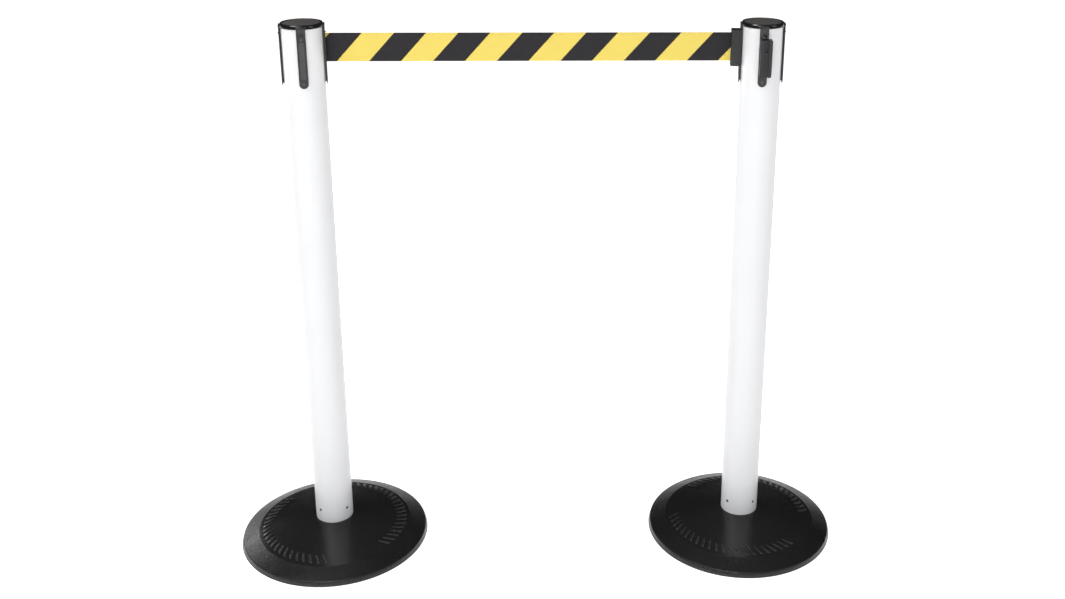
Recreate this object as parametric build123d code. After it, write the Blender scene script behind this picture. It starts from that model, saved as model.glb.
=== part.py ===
from build123d import *
import math
import os

# Two free-standing posts joined by the left post's belt. Millimetres and degrees, +Z up.
# The origin is on the floor, midway between the posts. +X runs from the left post to the right
# one, and -Y is the front. Each post is modelled about its own axis and then moved along X.
# On a head face, n is the distance out from the post's axis and t runs counter-clockwise. The
# faces lie at 0, 90, 180 and -90 degrees, and then the whole head is turned a little with its tube.

# ---- Driving dimensions ---------------------------------------------------------------------
POST_SPACING = 790.0
LEFT_TURN = 7.5
RIGHT_TURN = -5.0

# Tube and its foot
TUBE_R = 35.0
TUBE_WALL = 1.6
TUBE_FOOT_Z = 45.0
SOCKET_LENGTH = 44.0
RIVET_Z = 69.5
RIVET_R = 1.6
RIVET_HEAD_R = 2.8
RIVET_HEAD_HEIGHT = 1.0
RIVET_HEAD_ROUND = 0.55
RIVET_GRIP = 4.0
SOCKET_LEAD = 2.0

# Base
BASE_R = 177.0
BASE_SHOULDER_R = 144.0
BASE_SHOULDER_Z = 24.0
BASE_LAND_MARGIN = 3.0
BASE_CROWN_SAG = 0.6
BASE_BEVEL_RUN = 30.5
BASE_BEVEL_DROP = 11.5
BASE_EDGE_Z = 6.0
BASE_RIM_Z = 2.0
EDGE_TURN_BACK = 0.25
EDGE_TURN_RISE = 0.6
SKIN_SLANT = 0.4
COVER_WALL = 3.0
COVER_BORE_MARGIN = 4.4
WEIGHT_BOTTOM_Z = 3.0
WEIGHT_EDGE_MARGIN = 6.0
FLOOR_RING_R = 172.0
FLOOR_RING_WIDTH = 14.0
FLOOR_RING_EDGE = 0.6
BOLT_R = 6.0
BOLT_HEAD_R = 9.2
BOLT_HEAD_HEIGHT = 6.5
BOLT_REACH = 38.0
WASHER_R = 19.0
WASHER_THICKNESS = 2.5
BOLT_WELL_MARGIN = 3.0
BOLT_HEAD_CLEAR_Z = 1.0

# Head collar and cap
COLLAR_Z = 1000.0
COLLAR_PROUD = 2.6
COLLAR_FACE_HEIGHT = 5.0
COLLAR_HEIGHT = 7.0
COLLAR_BEVEL = 2.2
COLLAR_TAPER = 1.0
COLLAR_GRIP = 3.0
COLLAR_LEDGE = 1.1
CAP_MARGIN = 3.0
CAP_SUNK = 0.4
CAP_EDGE = 0.5
CAP_SPIGOT_WIDTH = 3.5
CAP_SPIGOT_DEPTH = 4.0
SHOULDER_PROUD = 4.0
SHOULDER_WIDTH = 16.5
SHOULDER_ROOT = 1.0
SHOULDER_BEVEL = 1.2

# Receiver rails
RAIL_WIDTH = 15.5
RAIL_LENGTH = 101.0
RAIL_HEAD = 1.6
RAIL_NECK = 2.0
RAIL_NECK_WIDTH = 8.0
RAIL_EDGE_R = 0.7
RAIL_GROOVE_WIDTH = 9.0
RAIL_GROOVE_DEPTH = 0.5
RAIL_GROOVE_TOP_DROP = 26.0
RAIL_GROOVE_END_RISE = 20.0
NUB_DROP = 10.5
NUB_HEIGHT = 4.4
NUB_WIDTH = 4.0
NUB_PROUD = 2.0
SCREW_TOP_DROP = 16.0
SCREW_END_RISE = 9.0
SCREW_R = 1.0
SCREW_HEAD_R = 1.75
SCREW_HEAD_HEIGHT = 1.2
SCREW_SUNK = 0.1
SCREW_SLOT_DEPTH = 0.5
SCREW_SLOT_WIDTH = 0.5

# Belt
BELT_WIDTH = 50.0
BELT_THICKNESS = 0.5
BELT_LENGTH = 2300.0
BELT_OFFSET = 3.3
BELT_RUN_OUT = 1.0
BELT_RUN_IN = 4.0
EXIT_GAP = 2.4
EXIT_MARGIN = 1.6
PULLED_BELT_DROP = 13.2
PARKED_BELT_DROP = 22.0

# Belt end
END_OVER_BELT = 14.0
END_WIDTH = 20.0
END_BACK = 15.0
END_EDGE_R = 1.5
END_BELOW_BELT = 1.0
END_LIP_TRIM = 6.0
END_LIP_OVERLAP = 0.5
PIN_R = 1.2
PIN_DEPTH = 5.0
PIN_OVER_BELT = 10.0
PIN_EDGE = 0.2
CLIP_THICKNESS = 0.5
CLIP_WIDTH = 4.6
CLIP_LENGTH = 21.0
CLIP_CATCH = 0.7
PARK_GAP = 0.3

# Cassette
CASSETTE_WALL = 2.2
CASSETTE_FLOOR = 3.0
CASSETTE_HEADROOM = 2.15
LID_THICKNESS = 3.0
LID_EDGE = 0.8
AXLE_R = 4.0
AXLE_HEAD_R = 7.0
AXLE_HEAD_HEIGHT = 2.0
AXLE_SCREW_R = 1.6
AXLE_SCREW_DEPTH = 10.0
AXLE_SCREW_SPARE = 1.0
AXLE_SCREW_HEAD_R = 3.2
AXLE_SCREW_HEAD_HEIGHT = 1.6
SPOOL_CORE_R = 12.0
SPOOL_FLANGE_MARGIN = 2.4
SPOOL_FLANGE = 2.0
SPOOL_HUB_R = 8.5
SPOOL_HOLES = 6
SPOOL_HOLE_R = 2.5
SPRING_STRIP = 0.6
SPRING_WIDTH = 15.0
SPRING_TURNS = 7
SPRING_STEPS = 12
SPRING_LIFT = 0.3
SPRING_HEADROOM = 4.1
GUIDE_PIN_R = 1.5
GUIDE_PIN_INSET = 3.65
GUIDE_SHELF = 2.0
GUIDE_SHELF_MARGIN = 2.0
GUIDE_SEAT_DEPTH = 1.6
SHOE_INNER_R = 17.0
SHOE_THICKNESS = 3.4
SHOE_ARC = 110.0
SHOE_TRAVEL = 0.8
RIB_WIDTH = 3.0
RIB_LENGTH = 7.0
RIB_HEIGHT = 2.6
RIB_INSET = 1.0

# Clearances
SEAT = 0.05
FIT = 0.15
SLIDE_FIT = 0.3
RUNNING_FIT = 0.05
BASE_GAP = 0.2
OVERCUT = 1.0

# ---- Worked out from them -------------------------------------------------------------------
TUBE_BORE_R = TUBE_R - TUBE_WALL
TUBE_TOP_Z = COLLAR_Z + COLLAR_GRIP
RAIL_FACE = TUBE_R + RAIL_NECK + RAIL_HEAD
RAIL_UNDERCUT = TUBE_R + RAIL_NECK
CASSETTE_R = TUBE_BORE_R - FIT
CASSETTE_BORE_R = CASSETTE_R - CASSETTE_WALL
COVER_BORE_R = TUBE_BORE_R - COVER_BORE_MARGIN
CAP_R = TUBE_R - CAP_MARGIN
SCREW_DROPS = (SCREW_TOP_DROP, RAIL_LENGTH - SCREW_END_RISE)
END_HEIGHT = BELT_WIDTH + END_OVER_BELT
PIN_LENGTH = BELT_WIDTH + PIN_OVER_BELT
END_FLOOR = RAIL_FACE + SLIDE_FIT
END_TIP = TUBE_R + SLIDE_FIT
END_DEPTH = END_FLOOR + END_BACK
PIN_N = END_DEPTH - PIN_DEPTH
NUB_Z = COLLAR_Z - NUB_DROP

# Each post: its X, how far its head is turned, the side its own belt leaves by, and how far the
# belt's middle is below the collar.
POSTS = {
    "left": {
        "x": -POST_SPACING / 2,
        "turn": LEFT_TURN,
        "belt_side": 0.0,
        "belt_drop": PULLED_BELT_DROP + BELT_WIDTH / 2,
    },
    "right": {
        "x": POST_SPACING / 2,
        "turn": RIGHT_TURN,
        "belt_side": -90.0,
        "belt_drop": PARKED_BELT_DROP + BELT_WIDTH / 2,
    },
}
BELT_DROPS = [post["belt_drop"] for post in POSTS.values()]
EXIT_TOP_Z = COLLAR_Z - min(BELT_DROPS) + BELT_WIDTH / 2 + EXIT_MARGIN
EXIT_END_Z = COLLAR_Z - max(BELT_DROPS) - BELT_WIDTH / 2 - EXIT_MARGIN
RAIL_SIDES = {
    "left": {"inner": 0.0, "back": 90.0, "outer": 180.0, "front": -90.0},
    "right": {"outer": 0.0, "back": 90.0, "inner": 180.0, "front": -90.0},
}
SPRING_Z = EXIT_END_Z - SPOOL_FLANGE - SPRING_HEADROOM - SPRING_WIDTH
CASSETTE_FLOOR_TOP = SPRING_Z - SPRING_LIFT
CASSETTE_FLOOR_Z = CASSETTE_FLOOR_TOP - CASSETTE_FLOOR
SHOE_R = CASSETTE_BORE_R - SHOE_TRAVEL - FIT
SHOE_Z = EXIT_TOP_Z + SPOOL_FLANGE + SEAT
CASSETTE_RIM_Z = SHOE_Z + SHOE_THICKNESS + CASSETTE_HEADROOM
GUIDE_N = CASSETTE_BORE_R - GUIDE_PIN_INSET
LAND_R = TUBE_R + BASE_LAND_MARGIN
CROWN_MID_R = (LAND_R + BASE_SHOULDER_R) / 2
CROWN_MID_Z = (TUBE_FOOT_Z + BASE_SHOULDER_Z) / 2 + BASE_CROWN_SAG
BEVEL_END_R = BASE_SHOULDER_R + BASE_BEVEL_RUN
BEVEL_END_Z = BASE_SHOULDER_Z - BASE_BEVEL_DROP


# ---- Helpers --------------------------------------------------------------------------------
def rod(radius, z0, z1):
    """Upright cylinder on the post's axis from z0 to z1."""
    return Pos(0, 0, z0) * Cylinder(radius, z1 - z0, align=(Align.CENTER, Align.CENTER, Align.MIN))


def sleeve(inner_r, outer_r, z0, z1):
    return rod(outer_r, z0, z1) - rod(inner_r, z0, z1)


def block(n0, n1, t0, t1, z0, z1):
    """Box between two corners."""
    return Pos((n0 + n1) / 2, (t0 + t1) / 2, (z0 + z1) / 2) * Box(n1 - n0, t1 - t0, z1 - z0)


def radial_rod(radius, n0, n1, z, t=0.0):
    """Cylinder lying along n from n0 to n1."""
    return Pos((n0 + n1) / 2, t, z) * Rot(0, 90, 0) * Cylinder(radius, n1 - n0)


def lathe(points):
    """Closed outline of (radius, height) points, turned about the post's axis."""
    return revolve(Plane.XZ * make_face(Polyline(*points, close=True)), Axis.Z)


def around(shape, angle):
    return Rot(0, 0, angle) * shape


def mitred(points, distance):
    """The plan polyline moved sideways by distance, with mitred corners."""
    normals = []
    for (x0, y0), (x1, y1) in zip(points, points[1:]):
        length = math.hypot(x1 - x0, y1 - y0)
        normals.append((-(y1 - y0) / length, (x1 - x0) / length))
    moved = []
    for index, (x, y) in enumerate(points):
        before = normals[max(index - 1, 0)]
        after = normals[min(index, len(normals) - 1)]
        scale = distance / (1 + before[0] * after[0] + before[1] * after[1])
        moved.append((x + scale * (before[0] + after[0]), y + scale * (before[1] + after[1])))
    return moved


def ribbon(points, thickness, z0, z1):
    """Upright strip of the given thickness along a plan polyline."""
    outline = mitred(points, thickness / 2) + mitred(points, -thickness / 2)[::-1]
    return extrude(Pos(0, 0, z0) * make_face(Polyline(*outline, close=True)), amount=z1 - z0)


# ---- Base -----------------------------------------------------------------------------------
def base_top_line():
    """Outer line of the cover, from its bore out to its rim."""
    shoulder = (BASE_SHOULDER_R, BASE_SHOULDER_Z)
    bevel_end = (BEVEL_END_R, BEVEL_END_Z)
    turn_r = BASE_R - (BASE_R - BEVEL_END_R) * EDGE_TURN_BACK
    turn_z = BASE_EDGE_Z + (BEVEL_END_Z - BASE_EDGE_Z) * EDGE_TURN_RISE
    return [
        Line((COVER_BORE_R, TUBE_FOOT_Z), (LAND_R, TUBE_FOOT_Z)),
        ThreePointArc((LAND_R, TUBE_FOOT_Z), (CROWN_MID_R, CROWN_MID_Z), shoulder),
        Line(shoulder, bevel_end),
        ThreePointArc(bevel_end, (turn_r, turn_z), (BASE_R, BASE_EDGE_Z)),
        Line((BASE_R, BASE_EDGE_Z), (BASE_R, BASE_RIM_Z)),
    ]


def base_cover():
    """A turned shell, open at the bottom, with a bore for the tube's socket."""
    outline = base_top_line()
    outline.append(Line((BASE_R, BASE_RIM_Z), (COVER_BORE_R, BASE_RIM_Z)))
    outline.append(Line((COVER_BORE_R, BASE_RIM_Z), (COVER_BORE_R, TUBE_FOOT_Z)))
    full = revolve(Plane.XZ * make_face(outline), Axis.Z)
    return full - base_inside(COVER_WALL, BASE_RIM_Z - OVERCUT)


def base_inside(inset, bottom_z):
    """The space under the cover's skin, inset from the cover's outer line all round."""
    top_z = TUBE_FOOT_Z - inset
    shoulder = (BASE_SHOULDER_R - inset * SKIN_SLANT, BASE_SHOULDER_Z - inset)
    bevel = (BEVEL_END_R - inset, BEVEL_END_Z - inset)
    edge = (BASE_R - inset, BASE_EDGE_Z - inset * SKIN_SLANT)
    outline = [
        Line((0, bottom_z), (0, top_z)),
        Line((0, top_z), (LAND_R, top_z)),
        ThreePointArc((LAND_R, top_z), (CROWN_MID_R, CROWN_MID_Z - inset), shoulder),
        Line(shoulder, bevel),
        Line(bevel, edge),
        Line(edge, (BASE_R - inset, bottom_z)),
        Line((BASE_R - inset, bottom_z), (0, bottom_z)),
    ]
    return revolve(Plane.XZ * make_face(outline), Axis.Z)


def bolt_well_top():
    return BOLT_HEAD_CLEAR_Z + BOLT_HEAD_HEIGHT + WASHER_THICKNESS


def base_weight():
    body = base_inside(COVER_WALL + BASE_GAP, WEIGHT_BOTTOM_Z)
    body -= rod(BOLT_R + FIT, 0, TUBE_FOOT_Z)
    return body - rod(WASHER_R + BOLT_WELL_MARGIN, 0, bolt_well_top())


def floor_ring():
    body = sleeve(FLOOR_RING_R - FLOOR_RING_WIDTH, FLOOR_RING_R, 0, WEIGHT_BOTTOM_Z)
    return chamfer(body.edges().group_by(Axis.Z)[0], FLOOR_RING_EDGE)


def tie_washer():
    top = bolt_well_top()
    return sleeve(BOLT_R + FIT, WASHER_R, top - WASHER_THICKNESS, top)


def tie_bolt():
    head_top = BOLT_HEAD_CLEAR_Z + BOLT_HEAD_HEIGHT
    hexagon = Pos(0, 0, BOLT_HEAD_CLEAR_Z) * RegularPolygon(BOLT_HEAD_R, 6)
    socket_z = TUBE_FOOT_Z - COVER_WALL - BASE_GAP
    return extrude(hexagon, amount=BOLT_HEAD_HEIGHT) + rod(BOLT_R, head_top, socket_z + BOLT_REACH)


def tube_socket():
    foot_z = TUBE_FOOT_Z - COVER_WALL - BASE_GAP
    neck_r = COVER_BORE_R - FIT
    plug_r = TUBE_BORE_R - FIT
    top_z = TUBE_FOOT_Z + SOCKET_LENGTH
    body = rod(neck_r, foot_z, TUBE_FOOT_Z + FIT) + rod(plug_r, TUBE_FOOT_Z + FIT, top_z)
    body = chamfer(body.edges().group_by(Axis.Z)[-1], SOCKET_LEAD)
    body -= rod(BOLT_R + RUNNING_FIT, foot_z - OVERCUT, top_z + OVERCUT)
    return body - quarter_turns(radial_rod(RIVET_R + SEAT, TUBE_BORE_R - RIVET_GRIP, TUBE_R, RIVET_Z))


def quarter_turns(shape, first=45.0):
    """The shape at four even turns, starting at the first angle."""
    copies = [around(shape, first + 90.0 * turn) for turn in range(4)]
    return Compound(children=[solid for copy in copies for solid in copy.solids()])


def base_rivets():
    head = radial_rod(RIVET_HEAD_R, TUBE_R + SEAT, TUBE_R + RIVET_HEAD_HEIGHT, RIVET_Z)
    head = fillet(head.edges().group_by(Axis.X)[-1], RIVET_HEAD_HEIGHT * RIVET_HEAD_ROUND)
    shank = radial_rod(RIVET_R, TUBE_BORE_R - RIVET_GRIP + SEAT, TUBE_R + RIVET_HEAD_HEIGHT / 2, RIVET_Z)
    return quarter_turns(head + shank)


# ---- Tube and head --------------------------------------------------------------------------
def exit_slot():
    """The belt's way out of the post, on the face at angle 0, cut through every wall."""
    low = BELT_OFFSET - EXIT_GAP / 2
    far = RAIL_FACE + NUB_PROUD + OVERCUT
    return block(CASSETTE_BORE_R - CASSETTE_WALL, far, low, low + EXIT_GAP, EXIT_END_Z, EXIT_TOP_Z)


def screw_holes(radius):
    """The rail screws' holes through the tube and the cassette, at the four sides."""
    holes = []
    for side in range(4):
        for drop in SCREW_DROPS:
            hole = radial_rod(radius, CASSETTE_BORE_R - CASSETTE_WALL, TUBE_R + OVERCUT, COLLAR_Z - drop)
            holes.append(around(hole, 90.0 * side))
    return Compound(children=holes)


def tube(belt_side):
    body = sleeve(TUBE_BORE_R, TUBE_R, TUBE_FOOT_Z, TUBE_TOP_Z)
    body -= quarter_turns(radial_rod(RIVET_R + SEAT, TUBE_BORE_R - OVERCUT, TUBE_R + OVERCUT, RIVET_Z))
    body -= screw_holes(SCREW_R + SEAT)
    return body - around(exit_slot(), belt_side)


def rail(has_exit):
    """T-section receiver rail on the face at angle 0, rounded at its lower end."""
    end_z = COLLAR_Z - RAIL_LENGTH
    top_z = COLLAR_Z - SEAT
    head = Pos(RAIL_FACE - RAIL_HEAD / 2, 0, end_z) * RectangleRounded(RAIL_HEAD, RAIL_WIDTH, RAIL_EDGE_R)
    neck = Pos(RAIL_UNDERCUT - RAIL_NECK / 2, 0, end_z) * Rectangle(RAIL_NECK + RAIL_HEAD, RAIL_NECK_WIDTH)
    body = extrude(head, amount=top_z - end_z) + extrude(neck, amount=top_z - end_z)
    low_n = TUBE_R - RAIL_NECK
    far_n = RAIL_FACE + OVERCUT
    tongue = block(low_n, far_n, -RAIL_WIDTH, RAIL_WIDTH, end_z + RAIL_WIDTH / 2, top_z)
    tongue += radial_rod(RAIL_WIDTH / 2, low_n, far_n, end_z + RAIL_WIDTH / 2)
    body = (body & tongue) - rod(TUBE_R + SEAT, end_z - OVERCUT, top_z + OVERCUT)
    body += nub()
    groove_top = COLLAR_Z - RAIL_GROOVE_TOP_DROP
    groove_end = COLLAR_Z - RAIL_LENGTH + RAIL_GROOVE_END_RISE
    half = RAIL_GROOVE_WIDTH / 2
    if not has_exit:
        groove = block(RAIL_FACE - RAIL_GROOVE_DEPTH, far_n, -half, half, groove_end, groove_top)
        for z in (groove_end, groove_top):
            groove += radial_rod(half, RAIL_FACE - RAIL_GROOVE_DEPTH, far_n, z)
        body -= groove
    for drop in SCREW_DROPS:
        z = COLLAR_Z - drop
        body -= radial_rod(SCREW_R + SEAT, low_n, far_n, z)
        sunk_n = RAIL_FACE - SCREW_SUNK - SCREW_HEAD_HEIGHT
        body -= radial_rod(SCREW_HEAD_R + SEAT, sunk_n - SEAT, far_n, z)
    return body - exit_slot() if has_exit else body


def nub():
    """Small ridge near a rail's top that a belt end's clip snaps over."""
    low = (RAIL_FACE - RAIL_HEAD / 2, NUB_Z - NUB_HEIGHT / 2)
    point = (RAIL_FACE + NUB_PROUD, NUB_Z)
    high = (RAIL_FACE - RAIL_HEAD / 2, NUB_Z + NUB_HEIGHT / 2)
    outline = make_face(Polyline(low, point, high, close=True))
    return extrude(Plane.XZ * outline, amount=NUB_WIDTH / 2, both=True)


def rail_screws():
    screws = []
    half = SCREW_SLOT_WIDTH / 2
    for side in range(4):
        for drop in SCREW_DROPS:
            z = COLLAR_Z - drop
            face = RAIL_FACE - SCREW_SUNK
            head = radial_rod(SCREW_HEAD_R, face - SCREW_HEAD_HEIGHT, face, z)
            slot = block(face - SCREW_SLOT_DEPTH, face, -half, half, z - SCREW_HEAD_R, z + SCREW_HEAD_R)
            shank = radial_rod(SCREW_R, CASSETTE_BORE_R + SEAT, face - SCREW_HEAD_HEIGHT, z)
            screws.append(around(head - slot + shank, 90.0 * side))
    return Compound(children=screws)


def head_ring():
    bore_r = CAP_R - COLLAR_LEDGE - FIT
    seat_r = CAP_R + FIT
    skirt_r = TUBE_R + SEAT * 2
    outer_r = TUBE_R + COLLAR_PROUD
    top_z = COLLAR_Z + COLLAR_HEIGHT
    ledge_z = TUBE_TOP_Z + COLLAR_LEDGE
    body = lathe([
        (skirt_r, COLLAR_Z),
        (outer_r, COLLAR_Z),
        (outer_r - COLLAR_TAPER, COLLAR_Z + COLLAR_FACE_HEIGHT),
        (outer_r - COLLAR_BEVEL, top_z),
        (seat_r, top_z),
        (seat_r, ledge_z),
        (bore_r, ledge_z),
        (bore_r, TUBE_TOP_Z + SEAT),
        (skirt_r, TUBE_TOP_Z + SEAT),
    ])
    half = SHOULDER_WIDTH / 2
    face_top = COLLAR_Z + COLLAR_FACE_HEIGHT
    lug = block(TUBE_R + SHOULDER_ROOT, TUBE_R + SHOULDER_PROUD, -half, half, COLLAR_Z, face_top)
    lug = chamfer(lug.edges().group_by(Axis.Z)[-1].sort_by(Axis.X)[-1], SHOULDER_BEVEL)
    for side in range(4):
        body += around(lug, 90.0 * side)
    return body


def top_cap():
    top_z = COLLAR_Z + COLLAR_HEIGHT - CAP_SUNK
    ledge_z = TUBE_TOP_Z + COLLAR_LEDGE + SEAT
    spigot_r = CAP_R - COLLAR_LEDGE - FIT * 2
    disc = chamfer(rod(CAP_R, ledge_z, top_z).edges().group_by(Axis.Z)[-1], CAP_EDGE)
    return disc + sleeve(spigot_r - CAP_SPIGOT_WIDTH, spigot_r, ledge_z - CAP_SPIGOT_DEPTH, ledge_z)


# ---- Belt route -----------------------------------------------------------------------------
def roll_radius(stored):
    """Outer radius of a roll that holds the stored length of belt."""
    return math.sqrt(SPOOL_CORE_R ** 2 + stored * BELT_THICKNESS / math.pi)


def stored_length(name):
    """Belt still wound on a post's spool: the left belt spans the posts, the right is wound in."""
    if name == "left":
        return BELT_LENGTH - (POST_SPACING - RAIL_FACE - PIN_N)
    return BELT_LENGTH - PIN_DEPTH


def wrap_gap():
    return BELT_THICKNESS / 2 + FIT


def route_inside(roll_r):
    """Belt line inside the post: off the roll, round the guide pin, and out along the slot."""
    roll_line = roll_r + wrap_gap()
    pin_line = GUIDE_PIN_R + wrap_gap()
    pin_t = BELT_OFFSET + pin_line
    reach = math.hypot(GUIDE_N, pin_t)
    turn = math.atan2(pin_t, GUIDE_N) + math.acos((roll_line + pin_line) / reach)
    leave = (roll_line * math.cos(turn), roll_line * math.sin(turn))
    corner_n = (roll_line - BELT_OFFSET * math.sin(turn)) / math.cos(turn)
    return [leave, (corner_n, BELT_OFFSET), (RAIL_FACE + BELT_RUN_OUT, BELT_OFFSET)]


def hooked_place(n):
    """Turns the frame of the right post's inner face into the left post's own frame, at distance n."""
    across = Rot(0, 0, 180.0 + RIGHT_TURN) * Pos(n, 0, 0)
    return Rot(0, 0, -LEFT_TURN) * Pos(POST_SPACING, 0, 0) * across


def belt(name):
    """A post's belt from its roll to the belt pin, where it ends in a sewn loop."""
    post = POSTS[name]
    middle = COLLAR_Z - post["belt_drop"]
    z0 = middle - BELT_WIDTH / 2
    z1 = middle + BELT_WIDTH / 2
    points = route_inside(roll_radius(stored_length(name)))
    if name == "left":
        for n in (PIN_N + PIN_DEPTH + BELT_RUN_IN, PIN_N):
            spot = hooked_place(n).position
            points.append((spot.X, spot.Y))
        pin = points.pop()
    else:
        pin = (RAIL_FACE + PARK_GAP + PIN_DEPTH, BELT_OFFSET)
    hole_r = PIN_R + RUNNING_FIT
    place = Pos(pin[0], pin[1], 0)
    body = ribbon(points + [pin], BELT_THICKNESS, z0, z1)
    body += place * rod(hole_r + BELT_THICKNESS, z0, z1)
    return body - place * rod(hole_r, z0 - OVERCUT, z1 + OVERCUT)


# ---- Belt end -------------------------------------------------------------------------------
def end_levels(belt_z):
    middle = belt_z - END_BELOW_BELT
    return middle - END_HEIGHT / 2, middle + END_HEIGHT / 2


def belt_end(belt_z):
    """Hook channel, drawn where it hangs on a rail of the face at angle 0, belt leaving along +n."""
    z0, z1 = end_levels(belt_z)
    shape = RectangleRounded(END_DEPTH - END_TIP, END_WIDTH, END_EDGE_R)
    body = extrude(Pos((END_DEPTH + END_TIP) / 2, 0, z0) * shape, amount=END_HEIGHT)
    head_half = RAIL_WIDTH / 2 + SLIDE_FIT
    neck_half = RAIL_NECK_WIDTH / 2 + SLIDE_FIT
    low_z = z0 - OVERCUT
    high_z = z1 + OVERCUT
    near_n = END_TIP - OVERCUT
    body -= block(RAIL_UNDERCUT - SLIDE_FIT, END_FLOOR, -head_half, head_half, low_z, high_z)
    body -= block(near_n, RAIL_UNDERCUT, -neck_half, neck_half, low_z, high_z)
    body -= rod(TUBE_R + SLIDE_FIT, low_z, high_z)
    lip = RAIL_WIDTH / 2 - END_LIP_OVERLAP
    for near_t, far_t in ((-END_WIDTH, -lip), (lip, END_WIDTH)):
        body -= block(near_n, END_FLOOR, near_t, far_t, low_z, z0 + END_LIP_TRIM)
    clip_half = CLIP_WIDTH / 2 + FIT
    clip_n = END_FLOOR + NUB_PROUD + SLIDE_FIT + CLIP_THICKNESS + SEAT
    clip_z = z1 - CLIP_LENGTH - SEAT
    body -= block(END_FLOOR - OVERCUT, clip_n, -clip_half, clip_half, clip_z, high_z)
    loop_r = PIN_R + RUNNING_FIT + BELT_THICKNESS + SLIDE_FIT
    room = BELT_WIDTH / 2 + EXIT_MARGIN / 2
    body -= Pos(PIN_N, 0, 0) * rod(loop_r, belt_z - room, belt_z + room)
    half_gap = BELT_THICKNESS / 2 + SLIDE_FIT
    body -= block(PIN_N, END_DEPTH + OVERCUT, -half_gap, half_gap, belt_z - room, belt_z + room)
    pin_top = belt_z + PIN_LENGTH / 2
    return body - Pos(PIN_N, 0, 0) * rod(PIN_R + RUNNING_FIT, pin_top - PIN_LENGTH, high_z)


def belt_pin(belt_z):
    pin = rod(PIN_R, belt_z - PIN_LENGTH / 2, belt_z + PIN_LENGTH / 2)
    return Pos(PIN_N, 0, 0) * chamfer(pin.edges(), PIN_EDGE)


def detent_clip(belt_z):
    """Leaf in the channel's floor. Its bent top end sits just above the rail's nub."""
    z1 = end_levels(belt_z)[1]
    outer = END_FLOOR + NUB_PROUD + SLIDE_FIT + CLIP_THICKNESS
    inner = outer - CLIP_THICKNESS
    half = CLIP_WIDTH / 2
    leaf = block(inner, outer, -half, half, z1 - CLIP_LENGTH, z1 - SEAT)
    return leaf + block(RAIL_FACE + FIT, outer, -half, half, z1 - SEAT - CLIP_CATCH, z1 - SEAT)


def parked(shape):
    """Turns a belt end to face out from its own post, resting on the rail the belt leaves by."""
    return Pos(RAIL_FACE + PARK_GAP + END_DEPTH, BELT_OFFSET, 0) * Rot(0, 0, 180) * shape


# ---- Cassette -------------------------------------------------------------------------------
def cassette_body(belt_side):
    body = rod(CASSETTE_R, CASSETTE_FLOOR_Z, CASSETTE_RIM_Z)
    body -= rod(CASSETTE_BORE_R, CASSETTE_FLOOR_TOP, CASSETTE_RIM_Z + OVERCUT)
    body += around(guide_shelves(), belt_side)
    body -= rod(AXLE_R + SEAT, CASSETTE_FLOOR_Z - OVERCUT, CASSETTE_FLOOR_TOP + OVERCUT)
    body -= screw_holes(SCREW_R + SEAT)
    return body - around(exit_slot(), belt_side)


def guide_places():
    line = GUIDE_PIN_R + wrap_gap()
    return [(GUIDE_N, BELT_OFFSET + line), (GUIDE_N, BELT_OFFSET - line)]


def guide_shelves():
    """Two ledges on the cassette's wall that hold the ends of the guide pins."""
    low_n = spool_flange_r() + SLIDE_FIT
    width = GUIDE_PIN_R + GUIDE_SHELF_MARGIN
    shelves = []
    for z in (EXIT_END_Z - GUIDE_SHELF, EXIT_TOP_Z):
        t_low = BELT_OFFSET - wrap_gap() - GUIDE_PIN_R - width
        t_high = BELT_OFFSET + wrap_gap() + GUIDE_PIN_R + width
        shelf = block(low_n, CASSETTE_R, t_low, t_high, z, z + GUIDE_SHELF)
        shelf &= rod(CASSETTE_BORE_R + CASSETTE_WALL / 2, z, z + GUIDE_SHELF)
        shelf -= rod(low_n, z - OVERCUT, z + GUIDE_SHELF + OVERCUT)
        for n, t in guide_places():
            seat_low = EXIT_END_Z - GUIDE_SEAT_DEPTH
            shelf -= Pos(n, t, 0) * rod(GUIDE_PIN_R + SEAT, seat_low, EXIT_TOP_Z + GUIDE_SEAT_DEPTH)
        shelves.append(shelf)
    return Compound(children=[solid for shelf in shelves for solid in shelf.solids()])


def guide_pins():
    low = EXIT_END_Z - GUIDE_SEAT_DEPTH + SEAT
    high = EXIT_TOP_Z + GUIDE_SEAT_DEPTH - SEAT
    return Compound(children=[Pos(n, t, 0) * rod(GUIDE_PIN_R, low, high) for n, t in guide_places()])


def cassette_lid():
    top_z = CASSETTE_RIM_Z + LID_THICKNESS
    lid = rod(CASSETTE_R, CASSETTE_RIM_Z, top_z)
    lid -= rod(AXLE_SCREW_R + SEAT, CASSETTE_RIM_Z - OVERCUT, top_z + OVERCUT)
    return chamfer(lid.edges().group_by(Axis.Z)[-1].sort_by(SortBy.LENGTH)[-1], LID_EDGE)


def spool_axle():
    body = rod(AXLE_R, CASSETTE_FLOOR_Z, CASSETTE_RIM_Z)
    body += rod(AXLE_HEAD_R, CASSETTE_FLOOR_Z - AXLE_HEAD_HEIGHT, CASSETTE_FLOOR_Z)
    return body - rod(AXLE_SCREW_R + SEAT, CASSETTE_RIM_Z - AXLE_SCREW_DEPTH, CASSETTE_RIM_Z + OVERCUT)


def axle_screw():
    lid_top = CASSETTE_RIM_Z + LID_THICKNESS
    head = rod(AXLE_SCREW_HEAD_R, lid_top, lid_top + AXLE_SCREW_HEAD_HEIGHT)
    return head + rod(AXLE_SCREW_R, CASSETTE_RIM_Z - AXLE_SCREW_DEPTH + AXLE_SCREW_SPARE, lid_top)


def spool_flange_r():
    """The flanges just cover the fullest roll."""
    return roll_radius(BELT_LENGTH) + SPOOL_FLANGE_MARGIN


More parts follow.
